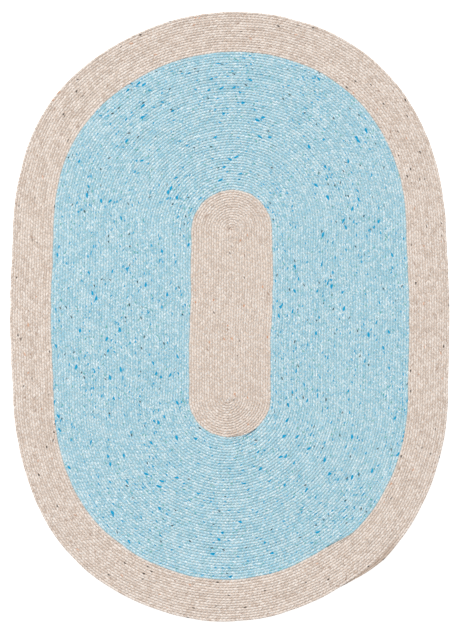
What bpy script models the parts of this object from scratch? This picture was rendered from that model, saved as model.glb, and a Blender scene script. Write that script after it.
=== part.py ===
"""An oval braided rug, made of three lengths of flat wool braid wound round on round.

Units are metres, with +Z up. The origin is on the floor, at the centre of the rug's box. X runs
across the rug and Y runs along it. A row is one round of the braid: the braid starts as a
straight run along Y, turns clockwise round the run's ends, and moves out by one row at each
turn. Each band of colour is one length of braid, and here one flat solid.
"""

import math

import bmesh
import bpy

# The braid and how it is wound.
RUN_LENGTH = 0.588       # the straight first run, between the centres of the two ends
THICKNESS = 0.010
GAP = 0.0003             # between one band and the next
EDGE_RADIUS = 0.0035     # the worn-round outer edge of the last row
JOINT_DEG = 45.0         # how far round the near end, past the right side, the lengths meet
JOINT_LENGTH = 0.120     # a length's end narrows for this long where the next begins
TAIL_LENGTH = 0.180      # the rug's last end narrows for longer, tucked against the edge

# Each length of braid: its name, how many rows it makes, and how wide one row lies.
BANDS = (
    {"node": "rug_center", "rows": 8, "row_width": 0.0173},
    {"node": "rug_field", "rows": 26, "row_width": 0.0185},
    {"node": "rug_border", "rows": 8, "row_width": 0.0174},
)

# The rug doesn't lie quite true. Each swell moves the edge out, or in where it is negative,
# about one direction from the centre, and less towards the first run.
SWELLS = (
    {"at_deg": 0, "out": 0.005, "spread_deg": 14},
    {"at_deg": 27, "out": -0.012, "spread_deg": 11},
    {"at_deg": 64, "out": 0.014, "spread_deg": 13},
    {"at_deg": 131, "out": 0.015, "spread_deg": 10},
    {"at_deg": 180, "out": 0.012, "spread_deg": 14},
    {"at_deg": 210, "out": -0.007, "spread_deg": 11},
    {"at_deg": 241, "out": 0.025, "spread_deg": 14},
    {"at_deg": 272, "out": 0.027, "spread_deg": 14},
    {"at_deg": 303, "out": 0.013, "spread_deg": 11},
)
LEAN_DEG = 0.45          # the whole rug is turned this far clockwise

# How finely the outlines are drawn.
END_STEPS = 64           # round each half-round end
SIDE_STEPS = 14          # along each straight side
TAPER_STEPS = 6          # along a joint or the tail
NEAREST_STAGE = 0.004    # no two points of an outline are closer than this share of a quarter
EDGE_SEGMENTS = 2        # across each rounded corner of the outer edge

CREAM = (0.70, 0.59, 0.50, 1.0)
SKY_BLUE = (0.40, 0.62, 0.71, 1.0)


def edge_after(row):
    """The distance from the first run's middle line to the outer edge of a row."""
    distance = BANDS[0]["row_width"] / 2.0
    rows_left = row
    for band in BANDS[:-1]:
        rows_here = min(rows_left, band["rows"])
        distance += rows_here * band["row_width"]
        rows_left -= rows_here
    return distance + rows_left * BANDS[-1]["row_width"]


def rows_through(band_index):
    """How many rows lie about the first run, up to and with this band."""
    return sum(band["rows"] for band in BANDS[:band_index + 1])


HALF_RUN = RUN_LENGTH / 2.0
OUTER_EDGE = edge_after(rows_through(len(BANDS) - 1))


def swell_at(direction_deg):
    """How far the rug's outermost edge is moved out in a direction."""
    total = 0.0
    for swell in SWELLS:
        away = (direction_deg - swell["at_deg"] + 180.0) % 360.0 - 180.0
        total += swell["out"] * math.exp(-0.5 * (away / swell["spread_deg"]) ** 2)
    return total


def as_it_lies(x, y):
    """Take a point of the true oval to where it lies in the rug."""
    along = min(max(y, -HALF_RUN), HALF_RUN)
    distance = math.hypot(x, y - along)
    if distance > 0.0:
        share = swell_at(math.degrees(math.atan2(y, x))) / OUTER_EDGE
        y += (y - along) * share
        x += x * share
    lean = math.radians(LEAN_DEG)
    return (
        x * math.cos(lean) + y * math.sin(lean),
        y * math.cos(lean) - x * math.sin(lean),
    )


def oval_point(stage, left, right):
    """A point on an oval about the first run.

    The stage is 0 to 1 up the left side, to 2 round the far end, to 3 down the right side and
    to 4 round the near end. Left and right are the distances of the two sides from the run.
    """
    if stage < 1.0:
        return -left, HALF_RUN * (2.0 * stage - 1.0)
    if stage < 2.0:
        turn = math.pi * (2.0 - stage)
        radius = (left + right) / 2.0
        middle = (right - left) / 2.0
        return middle + radius * math.cos(turn), HALF_RUN + radius * math.sin(turn)
    if stage < 3.0:
        return right, HALF_RUN * (5.0 - 2.0 * stage)
    turn = math.pi * (3.0 - stage)
    return right * math.cos(turn), -HALF_RUN + right * math.sin(turn)


def stages_between(first, last):
    """The stages from first to last, close together round the ends and wider on the sides."""
    marks = [first]
    for quarter in range(int(first), int(last) + 1):
        steps = SIDE_STEPS if quarter % 2 == 0 else END_STEPS
        for step in range(steps):
            mark = quarter + step / steps
            if first + NEAREST_STAGE < mark < last - NEAREST_STAGE:
                marks.append(mark)
    return marks + [last]


def edge_loop(rows, offset, taper_length):
    """The outer edge of the braid after so many rows, as points of one closed loop.

    It starts where the last row has narrowed to nothing, so the edge is one row short there,
    and runs clockwise. It ends on the taper, which leads back to the start.
    """
    inner = edge_after(rows - 1) + offset
    outer = edge_after(rows) + offset
    joint = 3.0 + JOINT_DEG / 180.0
    taper = taper_length / (math.pi * outer)
    loop = []
    for stage in stages_between(joint + taper, joint + 4.0):
        if stage < 4.0:
            loop.append(oval_point(stage, inner, inner))
        else:
            loop.append(oval_point(stage - 4.0, inner, outer))
    for step in range(1, TAPER_STEPS):
        share = step / TAPER_STEPS
        radius = outer + (inner - outer) * share
        loop.append(oval_point(joint + taper * share, radius, radius))
    return [as_it_lies(x, y) for x, y in loop]


def box_middle():
    """The middle of the rug's box, before the origin is moved there."""
    loop = edge_loop(rows_through(len(BANDS) - 1), 0.0, TAIL_LENGTH)
    xs = [x for x, _ in loop]
    ys = [y for _, y in loop]
    return (min(xs) + max(xs)) / 2.0, (min(ys) + max(ys)) / 2.0


def draw_loop(mesh, loop, middle, filled):
    """Draw a closed loop on the floor, as a circle whose points are moved to the loop's."""
    made = bmesh.ops.create_circle(
        mesh, cap_ends=filled, segments=len(loop), radius=1.0
    )
    for vertex, (x, y) in zip(made["verts"], loop):
        vertex.co = (x - middle[0], y - middle[1], 0.0)
    return made["verts"]


def raise_to_thickness(mesh):
    """Extrude the flat faces on the floor up by the rug's thickness."""
    made = bmesh.ops.extrude_face_region(mesh, geom=mesh.faces[:])
    top = [item for item in made["geom"] if isinstance(item, bmesh.types.BMVert)]
    bmesh.ops.translate(mesh, verts=top, vec=(0.0, 0.0, THICKNESS))
    bmesh.ops.recalc_face_normals(mesh, faces=mesh.faces[:])


def round_outer_edge(mesh, outer_points):
    """Round the top and bottom corners along the rug's outermost edge."""
    outer_places = {(round(v[0], 6), round(v[1], 6)) for v in outer_points}
    corners = []
    for edge in mesh.edges:
        first, second = (vertex.co for vertex in edge.verts)
        level = abs(first.z - second.z) < 1e-6
        at_edge = all(
            (round(point.x, 6), round(point.y, 6)) in outer_places
            for point in (first, second)
        )
        if level and at_edge:
            corners.append(edge)
    bmesh.ops.bevel(
        mesh,
        geom=corners,
        offset=EDGE_RADIUS,
        offset_type="OFFSET",
        segments=EDGE_SEGMENTS,
        profile=0.5,
        affect="EDGES",
        material=-1,
    )


def wool(name, colour):
    """Plain wool in one colour."""
    material = bpy.data.materials.new(name)
    material.use_nodes = True
    shader = material.node_tree.nodes["Principled BSDF"]
    shader.inputs["Base Color"].default_value = colour
    shader.inputs["Roughness"].default_value = 0.95
    shader.inputs["Metallic"].default_value = 0.0
    return material


def add_band(name, mesh, material):
    """Make a band's object from its mesh."""
    data = bpy.data.meshes.new(name)
    mesh.to_mesh(data)
    mesh.free()
    data.materials.append(material)
    data.shade_smooth()
    data.set_sharp_from_angle(angle=math.radians(35.0))
    band = bpy.data.objects.new(name, data)
    bpy.context.scene.collection.objects.link(band)
    return band


def make_center(middle):
    """The inmost band: the first run and the rows about it, filled across."""
    mesh = bmesh.new()
    loop = edge_loop(rows_through(0), -GAP / 2.0, JOINT_LENGTH)
    draw_loop(mesh, loop, middle, filled=True)
    raise_to_thickness(mesh)
    return add_band(BANDS[0]["node"], mesh, wool("cream_wool_center", CREAM))


def make_ring(band_index, middle, material):
    """A band that goes round the one before it."""
    outermost = band_index == len(BANDS) - 1
    outer_offset = 0.0 if outermost else -GAP / 2.0
    taper_length = TAIL_LENGTH if outermost else JOINT_LENGTH
    mesh = bmesh.new()
    inner_loop = edge_loop(rows_through(band_index - 1), GAP / 2.0, JOINT_LENGTH)
    outer_loop = edge_loop(rows_through(band_index), outer_offset, taper_length)
    draw_loop(mesh, inner_loop, middle, filled=False)
    outer = draw_loop(mesh, outer_loop, middle, filled=False)
    outer_points = [tuple(vertex.co) for vertex in outer]
    bmesh.ops.bridge_loops(mesh, edges=mesh.edges[:])
    raise_to_thickness(mesh)
    if outermost:
        round_outer_edge(mesh, outer_points)
    return add_band(BANDS[band_index]["node"], mesh, material)


def main():
    for old in list(bpy.data.objects):
        bpy.data.objects.remove(old, do_unlink=True)
    middle = box_middle()
    make_center(middle)
    make_ring(1, middle, wool("sky_blue_wool", SKY_BLUE))
    make_ring(2, middle, wool("cream_wool_border", CREAM))


main()
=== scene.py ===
"""An oval braided wool rug: its lengths of braid, its wool, and the stage it is seen on.

Units are metres, with +Z up and the rug's middle at the origin. One long flat braid starts as a
straight run along Y and winds clockwise round the run's ends, one row further out at each turn.
A mark says where along the winding a point is. A row takes four marks, one each for the way up
the left side, round the far end, down the right side and round the near end.
"""

import math

import bmesh
import bpy
import numpy as np
from bpy.props import FloatProperty, FloatVectorProperty, PointerProperty
from bpy.types import Operator, Panel, PropertyGroup
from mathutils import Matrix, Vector


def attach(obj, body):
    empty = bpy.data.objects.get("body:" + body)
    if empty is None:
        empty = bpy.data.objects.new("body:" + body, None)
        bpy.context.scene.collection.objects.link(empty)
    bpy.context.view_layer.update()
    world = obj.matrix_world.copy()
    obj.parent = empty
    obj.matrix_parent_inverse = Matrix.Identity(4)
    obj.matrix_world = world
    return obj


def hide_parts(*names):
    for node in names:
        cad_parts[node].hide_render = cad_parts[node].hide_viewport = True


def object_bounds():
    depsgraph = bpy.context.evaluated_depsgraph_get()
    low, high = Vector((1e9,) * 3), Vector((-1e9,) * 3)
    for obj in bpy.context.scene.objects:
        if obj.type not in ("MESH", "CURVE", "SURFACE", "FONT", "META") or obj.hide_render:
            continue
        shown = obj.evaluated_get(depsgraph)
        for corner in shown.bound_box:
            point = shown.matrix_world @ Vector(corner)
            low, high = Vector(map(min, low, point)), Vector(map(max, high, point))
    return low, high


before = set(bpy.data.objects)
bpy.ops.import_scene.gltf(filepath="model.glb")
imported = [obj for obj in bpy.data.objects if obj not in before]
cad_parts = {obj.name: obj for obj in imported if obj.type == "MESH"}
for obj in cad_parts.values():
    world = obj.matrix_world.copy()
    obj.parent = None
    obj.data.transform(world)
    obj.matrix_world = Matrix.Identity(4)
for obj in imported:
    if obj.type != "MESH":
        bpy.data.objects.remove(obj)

bl_info = {
    "name": "Braided Rug",
    "version": (1, 0, 0),
    "blender": (4, 5, 0),
    "location": "3D View > Sidebar > Rug",
    "description": "Makes an oval rug of laced wool braid, and the stage it is seen on",
    "category": "Object",
}

CAD_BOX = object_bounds()
BODY = "root"
SEED = 7                 # of the stitches' lengths and heights

# How the braid is wound, as the flat solids are.
RUN_LENGTH = 0.588       # the straight first run, between the centres of the two ends
HALF_RUN = RUN_LENGTH / 2.0
MARKS_PER_ROW = 4.0
JOINT_STAGE = 3.25       # the mark of a row at which one length of braid ends
JOINT_LENGTH = 0.120     # the end narrows for this long, where the next length begins
TAIL_LENGTH = 0.180      # the rug's last end narrows for longer, tucked against the edge
TAIL_SHADE_LEAD = 0.090        # painted shade starts to darken it this far before it narrows
TAIL_SHADE_LENGTH = 0.045      # and takes this long to grow as dark as it gets
BANDS = (
    {"node": "rug_center", "rows": 8, "row_width": 0.0173},
    {"node": "rug_field", "rows": 26, "row_width": 0.0185},
    {"node": "rug_border", "rows": 8, "row_width": 0.0174},
)

# The rug doesn't lie quite true. Each swell moves the edge out, or in where it is negative,
# about one direction from the centre, and less towards the first run.
SWELLS = (
    {"at_deg": 0, "out": 0.005, "spread_deg": 14},
    {"at_deg": 27, "out": -0.012, "spread_deg": 11},
    {"at_deg": 64, "out": 0.014, "spread_deg": 13},
    {"at_deg": 131, "out": 0.015, "spread_deg": 10},
    {"at_deg": 180, "out": 0.012, "spread_deg": 14},
    {"at_deg": 210, "out": -0.007, "spread_deg": 11},
    {"at_deg": 241, "out": 0.025, "spread_deg": 14},
    {"at_deg": 272, "out": 0.027, "spread_deg": 14},
    {"at_deg": 303, "out": 0.013, "spread_deg": 11},
)
LEAN = math.radians(0.45)    # the whole rug is turned this far clockwise

# Where the rows about the first run were laced up to 10 mm off true, and which way.
STRAYS = (
    {"at": (0.146, 0.105), "move": (0.0095, 0.0), "spread": 0.090},
    {"at": (-0.143, -0.080), "move": (-0.006, 0.0), "spread": 0.050},
    {"at": (0.085, -0.400), "move": (-0.004, 0.005), "spread": 0.050},
    {"at": (0.0, 0.410), "move": (0.006, 0.0), "spread": 0.060},
)

# Waves, each by how many radians it turns for a metre in x and in y, where it starts and how
# strong it is. The first two sets move the rows as they were laced. The third makes the lines
# along a row waver, and there x is a mark.
WANDERS_ACROSS = (
    {"x": 9.0, "y": 41.0, "start": 0.0, "share": 1.0},
    {"x": -23.0, "y": 67.0, "start": 1.3, "share": 0.6},
)
WANDERS_ALONG = (
    {"x": 37.0, "y": -11.0, "start": 0.7, "share": 1.0},
    {"x": 71.0, "y": 19.0, "start": 0.0, "share": 0.6},
)
WAVERS = (
    {"x": 47.3, "y": 0.0, "start": 0.0, "share": 1.0},
    {"x": 74.9, "y": 0.0, "start": 1.0, "share": 0.8},
    {"x": 29.1, "y": 0.0, "start": 2.0, "share": 0.6},
)

# How finely the winding is measured, and how many marks are added before it and past it.
EDGE_STEPS = 4000
LENGTH_STEPS = 60000
MARKS_BEFORE = 0.02
MARKS_PAST = 0.5

# The pieces that each band's braid is made in, by the rows wound before and after each.
CENTER_PIECES = ({"name": "center_braid", "from_row": 0, "to_row": 8},)
FIELD_PIECES = (
    {"name": "field_braid_inner", "from_row": 8, "to_row": 19},
    {"name": "field_braid_middle", "from_row": 19, "to_row": 27},
    {"name": "field_braid_outer", "from_row": 27, "to_row": 34},
)
BORDER_PIECES = (
    {"name": "border_braid_inner", "from_row": 34, "to_row": 38},
    {"name": "border_braid_outer", "from_row": 38, "to_row": 42},
)

# The braid's outline, cut across: where each point lies across the braid, how far it sways from
# there as the strands cross, how far ahead of the crests it lies in stitches, its height as a
# share of the thickness where the strands dip between stitches and where they stand proud, and
# how many stitches its strands are ahead of the other side's.
CROSS_SECTION = (
    {"across": -0.50, "sway": 0.00, "ahead": -0.34, "dip": 0.62, "crest": 0.72, "side": 0.0},
    {"across": -0.26, "sway": 0.02, "ahead": 0.00, "dip": 0.89, "crest": 1.00, "side": 0.0},
    {"across": 0.00, "sway": 0.03, "ahead": 0.34, "dip": 0.58, "crest": 0.70, "side": 0.0},
    {"across": 0.26, "sway": 0.02, "ahead": 0.00, "dip": 0.89, "crest": 1.00, "side": 0.5},
    {"across": 0.50, "sway": 0.00, "ahead": -0.34, "dip": 0.62, "crest": 0.72, "side": 0.5},
    {"across": 0.26, "sway": 0.00, "ahead": 0.00, "dip": 0.11, "crest": 0.00, "side": 0.5},
    {"across": 0.00, "sway": 0.00, "ahead": 0.34, "dip": 0.26, "crest": 0.20, "side": 0.0},
    {"across": -0.26, "sway": 0.00, "ahead": 0.00, "dip": 0.11, "crest": 0.00, "side": 0.0},
)
RINGS_PER_STITCH = 4     # rings of points along one stitch
SHORTEST_STITCH = 0.4    # as a share of the usual one
SPARE_STITCHES = 3       # heights are drawn for this many stitches past the last
CREST_ROUNDNESS = 0.6    # below 1 the stitches are full and the dips between them narrow
TIP_WIDTH = 0.04         # how narrow a tapered end gets, as a share of the row
TAIL_THIN = 0.45         # how thin the tail would be where it narrowed to nothing
TAIL_FULLNESS = 1.3      # above 1 the tail keeps its width for longer
START_LEAD = 0.4         # the braid starts this share of a row before the first run
FIRST_MARK = -START_LEAD * BANDS[0]["row_width"] / RUN_LENGTH

# The wool. A stitch is 13.8 mm along the braid, and a side of the braid about 9 mm across.
SHADES_PER_STITCH = 3.2  # 4.3 mm each: the real yarn's are finer, and too fine to show
SKEINS_PER_METRE = 24.0  # a skein's own tone shows over about 40 mm
STITCH_TONE = 0.30       # how much the tone differs between stitches
SKEIN_TONE = 0.10        # and between skeins
TINT_FROM = 0.50         # where in the mix a tint starts to show
TINT_FULL = 0.68         # and where it is strongest
CREASE_SHADE_REACH = 0.45      # how far up from its bottom a crease's painted shade reaches, as a share
CREASE_SHADE_SHARE = 0.70      # how much of the painted shade colour shows at a crease's bottom
DRIFTS_PER_METRE = 9.0   # flecks lie closer together in some places, about 110 mm across
FEWEST_FLECKS = 0.4      # as a share of the usual number
MOST_FLECKS = 1.6
FLECK_MIDDLE = 0.75      # the share of a fleck's reach that is full of its colour
YARNS_PER_STITCH = 6.0   # plied yarns, 2.3 mm apart
YARN_RELIEF = 0.25       # how much a yarn stands up, beside the hairs
TUFTS_PER_STITCH = 9.0   # tufts of hair 1.5 mm long: a single hair is too fine to show
TUFTS_PER_ROW = 5.0      # and 3.5 mm wide

# The stage.
FLOOR_GAP = 0.0005       # between the rug and the floor
FLOOR_GLOW = 0.5         # how strongly it is lit from below
KEY_PLACE = (-1.1, 4.0, 3.0)    # only its direction counts
FILL_PLACE = (-2.2, 2.6, 3.0)
FILL_SIZE = 2.0          # along one side
VIEW_CENTER = (0.001, 0.011)    # what the camera looks straight down at


def linear(hex_colour):
    """The linear RGBA of an sRGB hex value such as #e6d9cc."""
    shares = [int(hex_colour[i:i + 2], 16) / 255.0 for i in (1, 3, 5)]
    return tuple(
        share / 12.92 if share <= 0.04045 else ((share + 0.055) / 1.055) ** 2.4
        for share in shares
    ) + (1.0,)


class BraidSettings(PropertyGroup):
    """The sizes of the braid."""

    thickness: FloatProperty(
        name="Thickness",
        description="From the floor to the tops of the strands",
        default=CAD_BOX[1][2] - CAD_BOX[0][2],
        unit="LENGTH",
    )
    stitch: FloatProperty(
        name="Stitch",
        description="How far along the braid one strand's next turn over comes",
        default=0.0138,
        unit="LENGTH",
    )
    squeeze: FloatProperty(
        name="Squeeze",
        description="How far each row's soft side presses into the next row's",
        default=0.0001,
        unit="LENGTH",
    )
    irregularity: FloatProperty(
        name="Irregularity",
        description="How much one stitch's length differs from the next, as a share of it",
        default=0.16,
        subtype="FACTOR",
    )
    unevenness: FloatProperty(
        name="Unevenness",
        description="How much one stitch's height differs from the next, as a share of it",
        default=0.06,
        subtype="FACTOR",
    )
    waver: FloatProperty(
        name="Waver",
        description="How far the rows' sides and middles waver, as a share of a row's width",
        default=0.055,
        subtype="FACTOR",
    )
    wander: FloatProperty(
        name="Wander",
        description="How far the rows stray from true as they are laced",
        default=0.0004,
        unit="LENGTH",
    )


def colour_property(name, description, hex_colour):
    """A colour that a user may change."""
    return FloatVectorProperty(
        name=name,
        description=description,
        default=linear(hex_colour),
        subtype="COLOR",
        size=4,
        min=0.0,
        max=1.0,
    )


class CreamWoolSettings(PropertyGroup):
    """The cream tweed wool's colours."""

    light: colour_property("Light", "The palest yarn", "#F3E9E1")
    main: colour_property("Main", "Most of the yarn", "#E8DACF")
    dark: colour_property("Dark", "The oatmeal yarn", "#C0AD9F")
    # painted shade: the colour mixed in down between strands, where shade falls
    crease_shade: colour_property("Crease", "The yarn down between strands", "#B09B8A")
    tint_a: colour_property("Warm tint", "Yarn that took more of the sheep's own colour", "#E6CBB4")
    tint_b: colour_property("Cool tint", "Yarn with a little grey in it", "#C9CCCC")
    nub: colour_property("Nub", "The felted white nubs", "#FBF6EF")
    fleck_a: colour_property("Charcoal fleck", "The darkest flecks", "#2E2620")
    fleck_b: colour_property("Rust fleck", "The warm flecks", "#CC8148")
    fleck_c: colour_property("Brown fleck", "The brown flecks", "#8E6A55")


class BlueWoolSettings(PropertyGroup):
    """The sky-blue tweed wool's colours."""

    light: colour_property("Light", "The palest yarn", "#DEECEF")
    main: colour_property("Main", "Most of the yarn", "#B8D8E1")
    dark: colour_property("Dark", "The mid-blue yarn", "#8BBFD0")
    # painted shade: the colour mixed in down between strands, where shade falls
    crease_shade: colour_property("Crease", "The yarn down between strands", "#7CAAB8")
    tint_a: colour_property("Strong tint", "Yarn that took more of the dye", "#7FC6E6")
    tint_b: colour_property("Weak tint", "Yarn that took less of the dye", "#CBD1CE")
    nub: colour_property("Nub", "The felted white nubs", "#F4FAFC")
    fleck_a: colour_property("Azure fleck", "The brightest flecks", "#059CC8")
    fleck_b: colour_property("Slate fleck", "The darkest flecks", "#33474F")
    fleck_c: colour_property("Teal fleck", "The greenish flecks", "#4CA39C")


class StageSettings(PropertyGroup):
    """The floor, the light and the camera."""

    floor_size: FloatProperty(
        name="Floor size", description="Along one side", default=60.0, unit="LENGTH"
    )
    lens: FloatProperty(
        name="Lens", description="The camera's focal length", default=85.0, unit="CAMERA"
    )
    view_length: FloatProperty(
        name="View length",
        description="How much of the floor the picture's long side takes in",
        default=2.186,
        unit="LENGTH",
    )
    sky: FloatProperty(
        name="Sky", description="The strength of the even light", default=0.640, min=0.0
    )
    key: FloatProperty(
        name="Key", description="The strength of the large soft light", default=2.30, min=0.0
    )
    fill: FloatProperty(
        name="Fill",
        description="The power of the soft light at the far left",
        default=24.0,
        unit="POWER",
    )
    key_spread: FloatProperty(
        name="Key spread",
        description="How wide the large soft light is, seen from the rug",
        default=math.radians(30.0),
        subtype="ANGLE",
    )


# ---------------------------------------------------------------------------------------------
# The winding
# ---------------------------------------------------------------------------------------------


def row_edges():
    """Row counts, and how far from the first run the edge after each of them is."""
    counts = [-1.0]
    edges = [-BANDS[0]["row_width"] / 2.0]
    for band in BANDS:
        rows = band["rows"] + (1 if band is BANDS[0] else 0)
        counts.append(counts[-1] + rows)
        edges.append(edges[-1] + rows * band["row_width"])
    return counts, edges


ROW_COUNTS, ROW_EDGES = row_edges()
TOTAL_ROWS = int(ROW_COUNTS[-1])
OUTER_EDGE = ROW_EDGES[-1]
BAND_ENDS = tuple(int(count) for count in ROW_COUNTS[1:])


def oval_points(marks, across):
    """Points of the true oval, at marks along the winding and shares across a row."""
    row = np.maximum(np.floor(marks / MARKS_PER_ROW), 0.0)
    stage = marks - MARKS_PER_ROW * row
    left = np.interp(row - 1.0 + across, ROW_COUNTS, ROW_EDGES)
    right = np.interp(row + across, ROW_COUNTS, ROW_EDGES)
    radius = (left + right) / 2.0
    middle = (right - left) / 2.0
    far = math.pi * (2.0 - stage)
    near = math.pi * (3.0 - stage)
    quarter = np.clip(np.floor(stage), 0, 3).astype(int)
    x = np.choose(
        quarter,
        (-left, middle + radius * np.cos(far), right, right * np.cos(near)),
    )
    y = np.choose(
        quarter,
        (
            HALF_RUN * (2.0 * stage - 1.0),
            HALF_RUN + radius * np.sin(far),
            HALF_RUN * (5.0 - 2.0 * stage),
            -HALF_RUN + right * np.sin(near),
        ),
    )
    return x, y


def as_it_lies(x, y):
    """Take points of the true oval to where they lie in the rug."""
    along = np.clip(y, -HALF_RUN, HALF_RUN)
    direction = np.degrees(np.arctan2(y, x))
    moved_out = np.zeros_like(x)
    for swell in SWELLS:
        away = (direction - swell["at_deg"] + 180.0) % 360.0 - 180.0
        moved_out += swell["out"] * np.exp(-0.5 * (away / swell["spread_deg"]) ** 2)
    share = 1.0 + moved_out / OUTER_EDGE
    x = x * share
    y = along + (y - along) * share
    return (
        x * math.cos(LEAN) + y * math.sin(LEAN),
        y * math.cos(LEAN) - x * math.sin(LEAN),
    )


def joint_mark(rows):
    """The mark at which the braid has made so many rows."""
    return MARKS_PER_ROW * (rows - 1) + JOINT_STAGE


def rug_middle():
    """The middle of the box of the rug's outer edge, before the origin is moved there."""
    marks = np.linspace(joint_mark(TOTAL_ROWS - 1), joint_mark(TOTAL_ROWS), EDGE_STEPS)
    x, y = as_it_lies(*oval_points(marks, np.ones_like(marks)))
    return (x.min() + x.max()) / 2.0, (y.min() + y.max()) / 2.0


MIDDLE = rug_middle()


def waves_at(waves, x, y):
    """The sum of some waves at each place."""
    return sum(
        wave["share"] * np.sin(wave["x"] * x + wave["y"] * y + wave["start"]) for wave in waves
    )


def rug_points(marks, across, wander):
    """Points of the rug, at marks along the winding and shares across a row."""
    x, y = as_it_lies(*oval_points(marks, across))
    x = x - MIDDLE[0]
    y = y - MIDDLE[1]
    move_x = wander * waves_at(WANDERS_ACROSS, x, y)
    move_y = wander * waves_at(WANDERS_ALONG, x, y)
    for stray in STRAYS:
        away = np.hypot(x - stray["at"][0], y - stray["at"][1])
        near = np.exp(-0.5 * (away / stray["spread"]) ** 2)
        move_x = move_x + stray["move"][0] * near
        move_y = move_y + stray["move"][1] * near
    return x + move_x, y + move_y


def braid_lengths():
    """Marks all along the winding, and how long the braid is at each."""
    last = joint_mark(TOTAL_ROWS) + MARKS_PAST
    marks = np.linspace(-MARKS_BEFORE, last, LENGTH_STEPS)
    x, y = rug_points(marks, np.full_like(marks, 0.5), 0.0)
    steps = np.hypot(np.diff(x), np.diff(y))
    return marks, np.concatenate([[0.0], np.cumsum(steps)])


MARKS, LENGTHS = braid_lengths()


# ---------------------------------------------------------------------------------------------
# The braid's mesh
# ---------------------------------------------------------------------------------------------


def band_of(piece):
    """The band that a piece of braid belongs to."""
    for band, end in zip(BANDS, BAND_ENDS):
        if piece["from_row"] < end:
            return band
    raise ValueError("no band has row %d" % piece["from_row"])


def taper_of(rows, length):
    """How much of the winding a tapered end of some length takes, after so many rows."""
    return length / (math.pi * np.interp(rows, ROW_COUNTS, ROW_EDGES))


def ends_of(piece):
    """The marks at which a piece starts and ends, and the marks its two tapers take."""
    start = joint_mark(piece["from_row"]) if piece["from_row"] else FIRST_MARK
    start_taper = 0.0
    if piece["from_row"] in BAND_ENDS:
        start_taper = taper_of(piece["from_row"], JOINT_LENGTH)
    end_taper = 0.0
    if piece["to_row"] in BAND_ENDS:
        length = TAIL_LENGTH if piece["to_row"] == TOTAL_ROWS else JOINT_LENGTH
        end_taper = taper_of(piece["to_row"], length)
    return start, joint_mark(piece["to_row"]) + end_taper, start_taper, end_taper


def length_of(piece):
    """How long a piece of braid is along its middle."""
    start, end, _, _ = ends_of(piece)
    return np.interp(end, MARKS, LENGTHS) - np.interp(start, MARKS, LENGTHS)


def braid_strip(rings):
    """A flat strip of quads, with a ring's points across it and its two long edges to be sewn."""
    mesh = bmesh.new()
    bmesh.ops.create_grid(
        mesh, x_segments=rings - 1, y_segments=len(CROSS_SECTION), size=1.0
    )
    data = bpy.data.meshes.new("braid")
    mesh.to_mesh(data)
    mesh.free()
    return data


def strip_places(data, rings):
    """Which ring each point of the strip is in, and which point of the cross-section it is."""
    flat = np.zeros(len(data.vertices) * 3)
    data.vertices.foreach_get("co", flat)
    flat = flat.reshape(-1, 3)
    ring = np.rint((flat[:, 0] + 1.0) / 2.0 * (rings - 1)).astype(int)
    point = np.rint((flat[:, 1] + 1.0) / 2.0 * len(CROSS_SECTION)).astype(int)
    return ring, point % len(CROSS_SECTION)


def ring_places(rings, length, irregularity, rng):
    """How far along a piece each ring of points is, when no two stitches are quite as long."""
    stitches = (rings - 1) // RINGS_PER_STITCH
    lengths = 1.0 + irregularity * rng.standard_normal(stitches)
    ends = np.concatenate([[0.0], np.cumsum(np.maximum(lengths, SHORTEST_STITCH))])
    places = np.interp(np.arange(rings) / RINGS_PER_STITCH, np.arange(stitches + 1), ends)
    return places * length / places[-1]


def strand_rise(stitch, side, unevenness, rng):
    """How proud a strand stands, from 0 in the dip between stitches to about 1 on its crest."""
    phase = stitch + side
    rise = np.sin(math.pi * (phase % 1.0)) ** CREST_ROUNDNESS
    unlike = 1.0 - unevenness * rng.random((2, int(stitch.max()) + SPARE_STITCHES))
    return rise * unlike[(side > 0.0).astype(int), np.floor(phase).astype(int)]


def waver_of(marks):
    """How a line along the braid wavers, from -1 to 1, the same for two rows that touch."""
    return waves_at(WAVERS, marks, 0.0) / sum(wave["share"] for wave in WAVERS)


def tapered(piece, marks, across):
    """Where a piece's points lie across the row once its ends are narrowed, and how narrow."""
    start, end, start_taper, end_taper = ends_of(piece)
    narrow = np.ones_like(marks)
    if start_taper:
        share = eased((marks - start) / start_taper)
        across = 1.0 - share + across * share
    if end_taper:
        share = (end - marks) / end_taper
        if piece["to_row"] < TOTAL_ROWS:
            narrow = eased(share)
        else:
            narrow = 1.0 - np.clip(1.0 - share, 0.0, 1.0) ** TAIL_FULLNESS
            narrow = np.maximum(narrow, TIP_WIDTH)
        across = across * narrow
    return across, narrow


def eased(share):
    """A share from 0 to 1 that starts and ends gently."""
    return np.maximum(0.5 - 0.5 * np.cos(math.pi * np.clip(share, 0.0, 1.0)), TIP_WIDTH)


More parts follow.
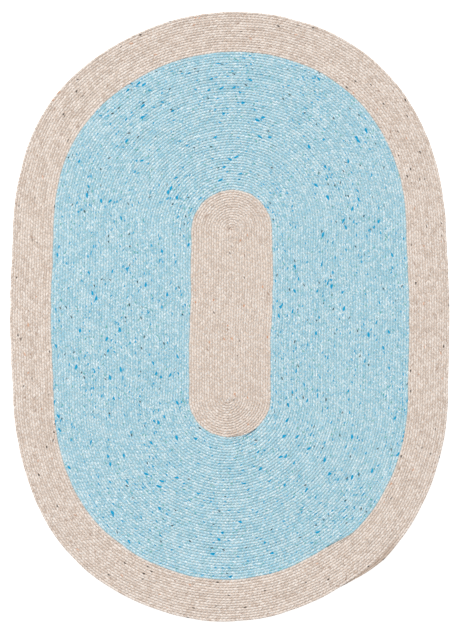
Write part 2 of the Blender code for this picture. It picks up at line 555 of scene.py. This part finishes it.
def shape_braid(data, rings, piece, settings, rng):
    """Move a strip's points to the braid's surface and note where along it each one is."""
    row_width = band_of(piece)["row_width"]
    start, end, _, _ = ends_of(piece)
    first = np.interp(start, MARKS, LENGTHS)
    last = np.interp(end, MARKS, LENGTHS)
    ring, point = strip_places(data, rings)
    section = {
        key: np.array([row[key] for row in CROSS_SECTION])[point] for key in CROSS_SECTION[0]
    }
    stitch = ring / RINGS_PER_STITCH
    along = first + ring_places(rings, last - first, settings.irregularity, rng)[ring]
    along = along + section["ahead"] * settings.stitch
    if piece["from_row"] in (0,) + BAND_ENDS:
        along = np.maximum(along, first)
    if piece["to_row"] in BAND_ENDS:
        along = np.minimum(along, last)
    marks = np.interp(along, LENGTHS, MARKS)

    sway = section["sway"] * np.sin(2.0 * math.pi * stitch)
    across = 0.5 + (section["across"] + sway) * (1.0 + settings.squeeze / row_width)
    across, narrow = tapered(piece, marks, across)
    line = marks + MARKS_PER_ROW * (section["across"] + 0.5)
    across = across + settings.waver * waver_of(line)
    x, y = rug_points(marks, across, settings.wander)

    rise = strand_rise(stitch, section["side"], settings.unevenness, rng)
    height = section["dip"] + (section["crest"] - section["dip"]) * rise
    # painted shade on the tail's last end, which lies low against the row before it
    tail_shade = np.zeros_like(marks)
    if piece["to_row"] == TOTAL_ROWS:
        height = height * (TAIL_THIN + (1.0 - TAIL_THIN) * np.sqrt(narrow))
        tail = np.interp(joint_mark(TOTAL_ROWS), MARKS, LENGTHS) - TAIL_SHADE_LEAD
        tail_shade = np.clip((along - tail) / TAIL_SHADE_LENGTH, 0.0, 1.0)
    places = np.stack([x, y, height * settings.thickness], axis=1)
    data.vertices.foreach_set("co", places.ravel())

    braid = data.attributes.new("braid", "FLOAT_VECTOR", "POINT")
    before = round(first / settings.stitch)
    noted = np.stack([section["across"] + 0.5, before + stitch, tail_shade], axis=1)
    braid.data.foreach_set("vector", noted.ravel())


def runs_along_groove(edge, mesh):
    """Whether an edge runs along the braid's middle, or its side, where it meets the next row."""
    braid = mesh.verts.layers.float_vector["braid"]
    first, second = (vertex[braid].x for vertex in edge.verts)
    return first == second and first in (0.0, 0.5, 1.0)


def close_braid(data):
    """Sew the strip's long edges into a tube, and fill the tube's two ends."""
    mesh = bmesh.new()
    mesh.from_mesh(data)
    seam = [vertex for vertex in mesh.verts if vertex.is_boundary]
    bmesh.ops.remove_doubles(mesh, verts=seam, dist=1e-6)
    open_edges = [edge for edge in mesh.edges if edge.is_boundary]
    bmesh.ops.holes_fill(mesh, edges=open_edges, sides=len(CROSS_SECTION))
    bmesh.ops.recalc_face_normals(mesh, faces=mesh.faces[:])
    for edge in mesh.edges:
        edge.smooth = not runs_along_groove(edge, mesh)
    mesh.to_mesh(data)
    mesh.free()


def lay_bake_map(data):
    """A map straight down through the piece, for painting its colours on as seen from above."""
    layer = data.uv_layers.new(name="OFBake")
    places = np.zeros(len(data.vertices) * 3, np.float32)
    data.vertices.foreach_get("co", places)
    places = places.reshape(-1, 3)[:, :2]
    corner = np.zeros(len(data.loops), np.int32)
    data.loops.foreach_get("vertex_index", corner)
    low = places.min(axis=0)
    reach = (places.max(axis=0) - low).max()
    layer.data.foreach_set("uv", ((places - low) / reach)[corner].ravel())


def make_braid(piece, settings, material):
    """One piece of the braid, wound on its rows and laid on the floor."""
    rng = np.random.default_rng(SEED + piece["from_row"])
    rings = RINGS_PER_STITCH * round(length_of(piece) / settings.stitch) + 1
    data = braid_strip(rings)
    shape_braid(data, rings, piece, settings, rng)
    close_braid(data)
    data.name = piece["name"]
    data.polygons.foreach_set("use_smooth", [True] * len(data.polygons))
    lay_bake_map(data)
    data.materials.append(material)
    braid = bpy.data.objects.new(piece["name"], data)
    bpy.context.scene.collection.objects.link(braid)
    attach(braid, BODY)
    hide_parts(band_of(piece)["node"])
    declare_cloth(piece)


def declare_cloth(piece):
    """Does nothing for any piece of braid: no size of cloth is given."""
    if piece["from_row"] == 0:
        return


# ---------------------------------------------------------------------------------------------
# The wool
# ---------------------------------------------------------------------------------------------


def add_node(tree, kind, inputs=None, **settings):
    """Add a node and set it up: an input takes a value, an output or a node's first output."""
    node = tree.nodes.new(kind)
    for key, value in settings.items():
        setattr(node, key, value)
    for key, value in (inputs or {}).items():
        if isinstance(value, bpy.types.Node):
            value = next(output for output in value.outputs if output.enabled)
        if isinstance(value, bpy.types.NodeSocket):
            tree.links.new(value, node.inputs[key])
        else:
            node.inputs[key].default_value = value
    return node


def tweed_wool(name, colours, flecks, contrast, tint_share):
    """Felted tweed wool, spun, plied and plaited: matt, softly haired and mixed in colour."""
    # Crimped hairs scatter the light, so wool has no gloss, only a faint sheen at a low angle.
    material = bpy.data.materials.new(name)
    material.use_nodes = True
    tree = material.node_tree
    place = add_node(tree, "ShaderNodeAttribute", attribute_name="braid")
    parts = add_node(tree, "ShaderNodeSeparateXYZ", {0: place.outputs["Vector"]})
    across, along, tail_shade = parts.outputs
    right = add_node(tree, "ShaderNodeMath", {0: across, 1: 0.5}, operation="GREATER_THAN")
    stitch = add_node(
        tree, "ShaderNodeMath", {0: right, 1: 0.5, 2: along}, operation="MULTIPLY_ADD"
    )
    # One unit of this is a stitch along the braid, and half the braid across it.
    sides = add_node(tree, "ShaderNodeMath", {0: across, 1: 2.0}, operation="MULTIPLY")
    yarn_place = add_node(tree, "ShaderNodeCombineXYZ", {0: along, 1: sides, 2: 0.0})

    colour = mixed_yarn(tree, yarn_place, stitch, right, colours, contrast, tint_share)
    # painted shade in the creases between rows and stitches, and on the tail's end
    colour = shaded_in_creases(tree, colour, across, stitch, tail_shade, colours.crease_shade)
    colour = flecked(tree, colour, yarn_place, colours, flecks)
    shader = tree.nodes["Principled BSDF"]
    tree.links.new(colour.outputs[2], shader.inputs["Base Color"])
    tree.links.new(yarn_bump(tree, stitch, across), shader.inputs["Normal"])
    shader.inputs["Roughness"].default_value = 0.95
    shader.inputs["Specular IOR Level"].default_value = 0.15
    shader.inputs["Sheen Weight"].default_value = 0.15
    shader.inputs["Sheen Roughness"].default_value = 0.6
    return material


def mixed_yarn(tree, yarn_place, stitch, right, colours, contrast, tint_share):
    """Yarn spun of several shades, which change every few mm, by the stitch and by the skein."""
    lobe = add_node(tree, "ShaderNodeMath", {0: stitch}, operation="FLOOR")
    lobe_place = add_node(tree, "ShaderNodeCombineXYZ", {0: lobe, 1: right, 2: 0.0})
    lobe_chance = add_node(
        tree, "ShaderNodeTexWhiteNoise", {"Vector": lobe_place}, noise_dimensions="3D"
    )
    yarn_mix = add_node(
        tree,
        "ShaderNodeTexNoise",
        {
            "Vector": yarn_place,
            "Scale": SHADES_PER_STITCH,
            "Detail": 2.0,
            "Roughness": 0.6,
        },
        noise_dimensions="2D",
    )
    rug_place = add_node(tree, "ShaderNodeTexCoord")
    skein = add_node(
        tree,
        "ShaderNodeTexNoise",
        {"Vector": rug_place.outputs["Object"], "Scale": SKEINS_PER_METRE, "Detail": 2.0},
    )
    added = ((lobe_chance.outputs["Value"], STITCH_TONE), (skein.outputs[0], SKEIN_TONE))
    usual = sum(amount for _, amount in added) / 2.0
    tone = add_node(tree, "ShaderNodeMath", {0: yarn_mix, 1: usual}, operation="SUBTRACT")
    for share, amount in added:
        tone = add_node(
            tree, "ShaderNodeMath", {0: share, 1: amount, 2: tone}, operation="MULTIPLY_ADD"
        )
    shades = add_node(tree, "ShaderNodeValToRGB", {0: tone})
    shades.color_ramp.elements[0].position = 0.5 - contrast
    shades.color_ramp.elements[0].color = colours.dark
    shades.color_ramp.elements[1].position = 0.5 + contrast
    shades.color_ramp.elements[1].color = colours.light
    shades.color_ramp.elements.new(0.5).color = colours.main
    colour = shades
    channels = add_node(tree, "ShaderNodeSeparateColor", {0: yarn_mix.outputs["Color"]})
    for channel, tint in ((1, colours.tint_a), (2, colours.tint_b)):
        share = add_node(
            tree,
            "ShaderNodeMapRange",
            {0: channels.outputs[channel], 1: TINT_FROM, 2: TINT_FULL, 3: 0.0, 4: tint_share},
            interpolation_type="SMOOTHSTEP",
        )
        colour = add_node(
            tree, "ShaderNodeMix", {"Factor": share, 6: colour, 7: tint}, data_type="RGBA"
        )
    return colour


def shaded_in_creases(tree, colour, across, stitch, tail_shade, crease_shade):
    """Painted shade: down between rows and stitches, and on the tail's tucked end, the shade colour
    is mixed over the wool's.
    """
    most_shade = tail_shade
    # Half a strand across the row, and half a stitch along it, and how strong each crease's painted
    # shade is.
    for place, half, shade_strength in ((across, 0.25, 1.0), (stitch, 0.5, 0.6)):
        from_edge = add_node(tree, "ShaderNodeMath", {0: place, 1: half}, operation="PINGPONG")
        shade_amount = add_node(
            tree,
            "ShaderNodeMapRange",
            {0: from_edge, 1: CREASE_SHADE_REACH * half, 2: 0.0, 3: 0.0, 4: shade_strength},
            interpolation_type="SMOOTHSTEP",
        )
        most_shade = add_node(tree, "ShaderNodeMath", {0: shade_amount, 1: most_shade}, operation="MAXIMUM")
    share = add_node(
        tree, "ShaderNodeMath", {0: most_shade, 1: CREASE_SHADE_SHARE}, operation="MULTIPLY"
    )
    return add_node(
        tree, "ShaderNodeMix", {"Factor": share, 6: colour, 7: crease_shade}, data_type="RGBA"
    )


def flecked(tree, colour, yarn_place, colours, flecks):
    """Nubs and flecks of other wool, 5 to 16 mm long, closer together in some places."""
    rug_place = add_node(tree, "ShaderNodeTexCoord")
    drift = add_node(
        tree,
        "ShaderNodeTexNoise",
        {"Vector": rug_place.outputs["Object"], "Scale": DRIFTS_PER_METRE, "Detail": 1.0},
    )
    often = add_node(
        tree,
        "ShaderNodeMapRange",
        {0: drift, 1: 0.25, 2: 0.75, 3: FEWEST_FLECKS, 4: MOST_FLECKS},
        interpolation_type="SMOOTHSTEP",
    )
    for index, fleck in enumerate(flecks):
        reach = fleck["reach"]
        cells = add_node(
            tree,
            "ShaderNodeTexVoronoi",
            {"Vector": yarn_place, "Scale": fleck["per_stitch"], "Randomness": 1.0},
            voronoi_dimensions="2D",
        )
        channels = add_node(tree, "ShaderNodeSeparateColor", {0: cells.outputs["Color"]})
        chance = add_node(
            tree, "ShaderNodeMath", {0: often, 1: fleck["chance"]}, operation="MULTIPLY"
        )
        wanted = add_node(
            tree,
            "ShaderNodeMath",
            {0: channels.outputs[index % 3], 1: chance},
            operation="LESS_THAN",
        )
        cover = add_node(
            tree,
            "ShaderNodeMapRange",
            {0: cells, 1: FLECK_MIDDLE * reach, 2: reach, 3: fleck["cover"], 4: 0.0},
            interpolation_type="SMOOTHSTEP",
        )
        share = add_node(tree, "ShaderNodeMath", {0: wanted, 1: cover}, operation="MULTIPLY")
        wool = getattr(colours, fleck["colour"])
        colour = add_node(
            tree, "ShaderNodeMix", {"Factor": share, 6: colour, 7: wool}, data_type="RGBA"
        )
    return colour


def yarn_bump(tree, stitch, across):
    """The plied yarns, about 2 mm apart along each strand, and the felt's loose hairs."""
    full_turns = 2.0 * math.pi * YARNS_PER_STITCH
    turns = add_node(tree, "ShaderNodeMath", {0: stitch, 1: full_turns}, operation="MULTIPLY")
    yarns = add_node(tree, "ShaderNodeMath", {0: turns}, operation="SINE")
    hair_along = add_node(
        tree, "ShaderNodeMath", {0: stitch, 1: TUFTS_PER_STITCH}, operation="MULTIPLY"
    )
    hair_across = add_node(
        tree, "ShaderNodeMath", {0: across, 1: TUFTS_PER_ROW}, operation="MULTIPLY"
    )
    hair_place = add_node(tree, "ShaderNodeCombineXYZ", {0: hair_along, 1: hair_across})
    hair = add_node(
        tree,
        "ShaderNodeTexNoise",
        {"Vector": hair_place, "Scale": 1.0, "Detail": 2.0},
        noise_dimensions="2D",
    )
    relief = add_node(
        tree, "ShaderNodeMath", {0: yarns, 1: YARN_RELIEF, 2: hair}, operation="MULTIPLY_ADD"
    )
    bump = add_node(
        tree, "ShaderNodeBump", {"Strength": 0.6, "Distance": 0.0007, "Height": relief}
    )
    return bump.outputs[0]


# Each kind of nub or fleck: whose colour it has, how many cells for one there are to a stitch,
# the chance that a cell holds one, how far it reaches in its cell as a share, and how much it
# covers. The smallest cells are 6 mm long and the largest 18 mm. Each is two thirds as wide.
CENTER_FLECKS = (
    {"colour": "nub", "per_stitch": 2.4, "chance": 0.03, "reach": 0.45, "cover": 0.6},
    {"colour": "fleck_c", "per_stitch": 2.4, "chance": 0.070, "reach": 0.44, "cover": 0.45},
    {"colour": "fleck_b", "per_stitch": 1.2, "chance": 0.006, "reach": 0.42, "cover": 0.70},
    {"colour": "fleck_c", "per_stitch": 1.0, "chance": 0.006, "reach": 0.44, "cover": 0.60},
    {"colour": "fleck_a", "per_stitch": 1.4, "chance": 0.002, "reach": 0.42, "cover": 0.7},
)
BORDER_FLECKS = (
    {"colour": "nub", "per_stitch": 2.4, "chance": 0.04, "reach": 0.45, "cover": 0.6},
    {"colour": "fleck_c", "per_stitch": 2.4, "chance": 0.065, "reach": 0.44, "cover": 0.5},
    {"colour": "fleck_b", "per_stitch": 1.1, "chance": 0.004, "reach": 0.44, "cover": 0.5},
    {"colour": "fleck_c", "per_stitch": 1.1, "chance": 0.010, "reach": 0.44, "cover": 0.5},
    {"colour": "fleck_a", "per_stitch": 1.1, "chance": 0.010, "reach": 0.42, "cover": 0.85},
)
FIELD_FLECKS = (
    {"colour": "nub", "per_stitch": 2.2, "chance": 0.08, "reach": 0.45, "cover": 0.8},
    {"colour": "fleck_c", "per_stitch": 2.3, "chance": 0.100, "reach": 0.45, "cover": 0.4},
    {"colour": "fleck_c", "per_stitch": 1.4, "chance": 0.020, "reach": 0.42, "cover": 0.8},
    {"colour": "fleck_a", "per_stitch": 1.9, "chance": 0.060, "reach": 0.45, "cover": 0.6},
    {"colour": "fleck_a", "per_stitch": 1.2, "chance": 0.030, "reach": 0.44, "cover": 0.9},
    {"colour": "fleck_a", "per_stitch": 0.75, "chance": 0.022, "reach": 0.44, "cover": 1.0},
    {"colour": "fleck_b", "per_stitch": 1.3, "chance": 0.008, "reach": 0.46, "cover": 0.9},
)


# ---------------------------------------------------------------------------------------------
# Operators
# ---------------------------------------------------------------------------------------------


class RUG_OT_center(Operator):
    """Make the first length of braid, the cream middle of the rug"""

    bl_idname = "rug.center"
    bl_label = "Center Braid"

    def execute(self, context):
        wool = tweed_wool(
            "cream_tweed_wool_center",
            context.scene.rug_cream,
            CENTER_FLECKS,
            contrast=0.235,
            tint_share=0.95,
        )
        for piece in CENTER_PIECES:
            make_braid(piece, context.scene.rug_braid, wool)
        return {"FINISHED"}


class RUG_OT_field(Operator):
    """Make the second length of braid, the sky-blue field of the rug"""

    bl_idname = "rug.field"
    bl_label = "Field Braid"

    def execute(self, context):
        wool = tweed_wool(
            "sky_blue_tweed_wool",
            context.scene.rug_blue,
            FIELD_FLECKS,
            contrast=0.205,
            tint_share=0.90,
        )
        for piece in FIELD_PIECES:
            make_braid(piece, context.scene.rug_braid, wool)
        return {"FINISHED"}


class RUG_OT_border(Operator):
    """Make the third length of braid, the cream border of the rug"""

    bl_idname = "rug.border"
    bl_label = "Border Braid"

    def execute(self, context):
        wool = tweed_wool(
            "cream_tweed_wool_border",
            context.scene.rug_cream,
            BORDER_FLECKS,
            contrast=0.20,
            tint_share=0.70,
        )
        for piece in BORDER_PIECES:
            make_braid(piece, context.scene.rug_braid, wool)
        return {"FINISHED"}


class RUG_OT_stage(Operator):
    """Make the plain pale floor, the soft light and the camera above the rug"""

    bl_idname = "rug.stage"
    bl_label = "Stage"

    def execute(self, context):
        settings = context.scene.rug_stage
        make_floor(settings)
        make_light(settings)
        make_camera(settings)
        context.scene.view_settings.view_transform = "Standard"
        return {"FINISHED"}


def make_floor(settings):
    """A plain pale floor just under the rug."""
    mesh = bmesh.new()
    bmesh.ops.create_grid(mesh, x_segments=1, y_segments=1, size=settings.floor_size / 2.0)
    bmesh.ops.translate(mesh, verts=mesh.verts, vec=(0.0, 0.0, CAD_BOX[0][2] - FLOOR_GAP))
    data = bpy.data.meshes.new("floor")
    mesh.to_mesh(data)
    mesh.free()
    data.materials.append(opal_acrylic())
    floor = bpy.data.objects.new("floor", data)
    bpy.context.scene.collection.objects.link(floor)


def opal_acrylic():
    """White opal acrylic sheet lit from below: an even white, in which shadows hardly show."""
    material = bpy.data.materials.new("opal_acrylic_sheet")
    material.use_nodes = True
    shader = material.node_tree.nodes["Principled BSDF"]
    shader.inputs["Base Color"].default_value = linear("#FBFBFB")
    shader.inputs["Emission Color"].default_value = (1.0, 1.0, 1.0, 1.0)
    shader.inputs["Emission Strength"].default_value = FLOOR_GLOW
    shader.inputs["Roughness"].default_value = 1.0
    shader.inputs["Specular IOR Level"].default_value = 0.0
    return material


def make_light(settings):
    """Even light all round, a large soft light beyond the far end and a weaker one beside it."""
    world = bpy.data.worlds.new("studio")
    world.use_nodes = True
    background = world.node_tree.nodes["Background"]
    background.inputs["Color"].default_value = (1.0, 1.0, 1.0, 1.0)
    background.inputs["Strength"].default_value = settings.sky
    bpy.context.scene.world = world
    lamp = bpy.data.lights.new("softbox", "SUN")
    lamp.angle = settings.key_spread
    lamp.energy = settings.key
    softbox = bpy.data.objects.new("softbox", lamp)
    aim_at_rug(softbox, KEY_PLACE)
    fill = bpy.data.lights.new("side_softbox", "AREA")
    fill.size = FILL_SIZE
    fill.energy = settings.fill
    side = bpy.data.objects.new("side_softbox", fill)
    aim_at_rug(side, FILL_PLACE)


def aim_at_rug(lamp, place):
    """Put a lamp in its place, turned to the rug."""
    lamp.location = place
    lamp.rotation_euler = (-Vector(place)).to_track_quat("-Z", "Y").to_euler()
    bpy.context.scene.collection.objects.link(lamp)


def make_camera(settings):
    """A camera straight above the rug."""
    data = bpy.data.cameras.new("camera")
    data.lens = settings.lens
    camera = bpy.data.objects.new("camera", data)
    distance = settings.view_length * data.lens / data.sensor_width
    camera.location = (*VIEW_CENTER, CAD_BOX[1][2] + distance)
    bpy.context.scene.collection.objects.link(camera)
    bpy.context.scene.camera = camera


class RUG_PT_panel(Panel):
    """The rug's settings and the buttons that make it"""

    bl_idname = "RUG_PT_panel"
    bl_label = "Braided Rug"
    bl_space_type = "VIEW_3D"
    bl_region_type = "UI"
    bl_category = "Rug"

    def draw(self, context):
        for group in ("rug_braid", "rug_cream", "rug_blue", "rug_stage"):
            box = self.layout.box()
            settings = getattr(context.scene, group)
            for name in type(settings).__annotations__:
                box.prop(settings, name)
        for operator in OPERATORS:
            self.layout.operator(operator.bl_idname)


SETTINGS = {
    "rug_braid": BraidSettings,
    "rug_cream": CreamWoolSettings,
    "rug_blue": BlueWoolSettings,
    "rug_stage": StageSettings,
}
OPERATORS = (RUG_OT_center, RUG_OT_field, RUG_OT_border, RUG_OT_stage)


def register():
    """Add the settings, the operators and the panel."""
    for name, settings in SETTINGS.items():
        bpy.utils.register_class(settings)
        setattr(bpy.types.Scene, name, PointerProperty(type=settings))
    for operator in OPERATORS:
        bpy.utils.register_class(operator)
    bpy.utils.register_class(RUG_PT_panel)


def unregister():
    """Take the panel, the operators and the settings away again."""
    bpy.utils.unregister_class(RUG_PT_panel)
    for operator in reversed(OPERATORS):
        bpy.utils.unregister_class(operator)
    for name, settings in SETTINGS.items():
        delattr(bpy.types.Scene, name)
        bpy.utils.unregister_class(settings)


def main():
    """Make the rug and its stage."""
    register()
    bpy.ops.rug.center()
    bpy.ops.rug.field()
    bpy.ops.rug.border()
    bpy.ops.rug.stage()
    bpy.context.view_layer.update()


if __name__ == "__main__":
    main()
